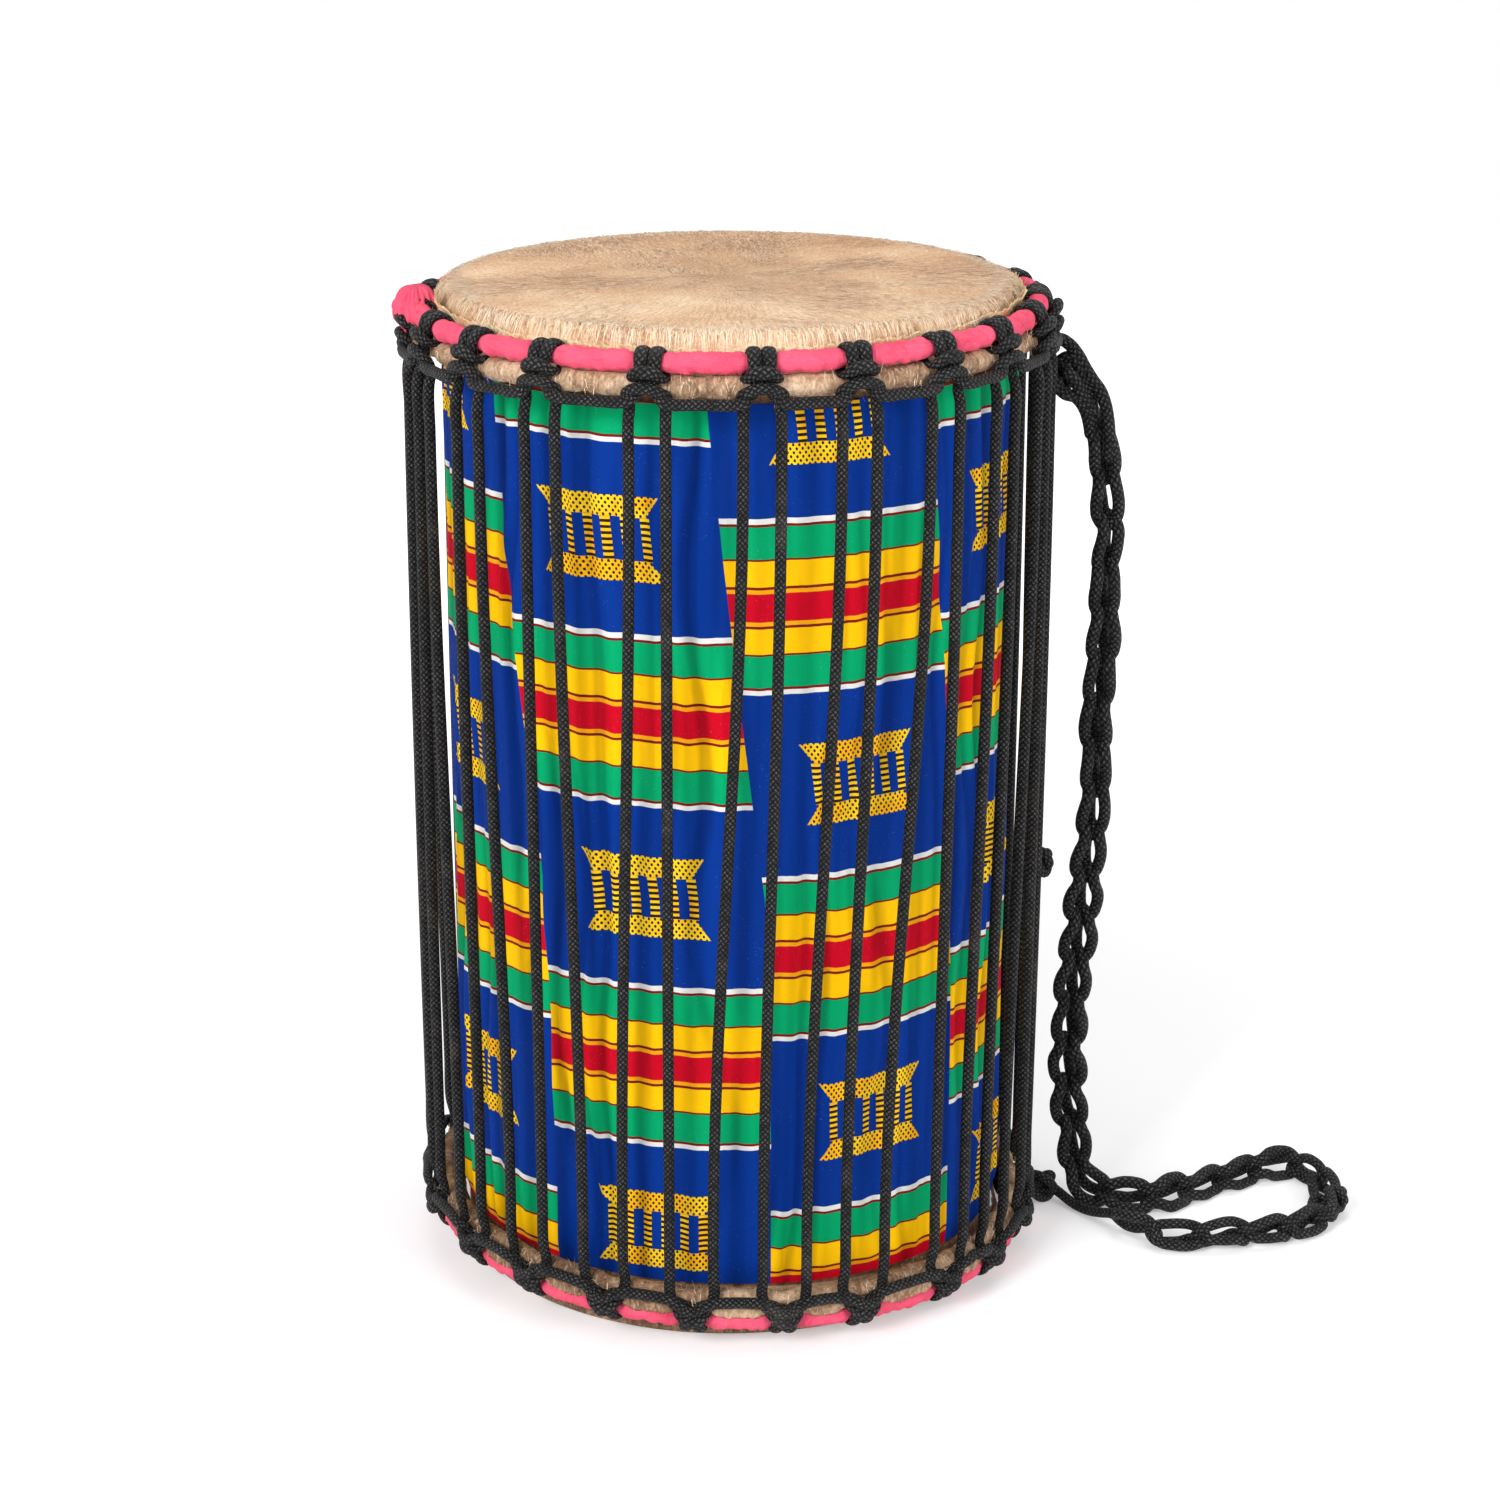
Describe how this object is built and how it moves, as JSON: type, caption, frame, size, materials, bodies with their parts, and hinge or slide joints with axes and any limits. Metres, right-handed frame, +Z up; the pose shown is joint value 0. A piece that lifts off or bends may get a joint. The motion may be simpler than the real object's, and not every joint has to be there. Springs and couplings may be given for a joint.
{
  "type": "rope-tuned double-headed drum",
  "caption": "Rope-tuned cylindrical drum with two hide heads, wrapped crown rings, a printed cloth cover and a chained carrying rope.",
  "frame": {"origin": "centre of the lower skin's face, where the drum stands on the ground", "axes": "+Z up along the drum's axis, -Y towards the viewer of the picture, +X towards the hanging carrying chain"},
  "size_m": [0.4534, 0.3053, 0.463],
  "materials": {
    "wood": "matte",
    "print": "printed cotton",
    "hide": "matte hide with short hair",
    "iron": "dull",
    "pink_cloth": "woven cotton",
    "rope": "braided cord"
  },
  "bodies": {
    "root": {"shell": "wood", "cloth_cover": "print", "top_head": "hide", "bottom_head": "hide", "top_flesh_ring": "iron", "bottom_flesh_ring": "iron", "top_crown_ring": "iron", "bottom_crown_ring": "iron", "top_ring_wrap": "pink_cloth", "bottom_ring_wrap": "pink_cloth", "wrap_tail": "pink_cloth", "top_ring_rope": "rope", "bottom_ring_rope": "rope", "lacing_rope": "rope", "carry_chain": "rope", "chain_tail": "rope", "chain_top_knot": "rope", "tail_knot": "rope", "splice_knot": "rope"}
  },
  "joints": []
}
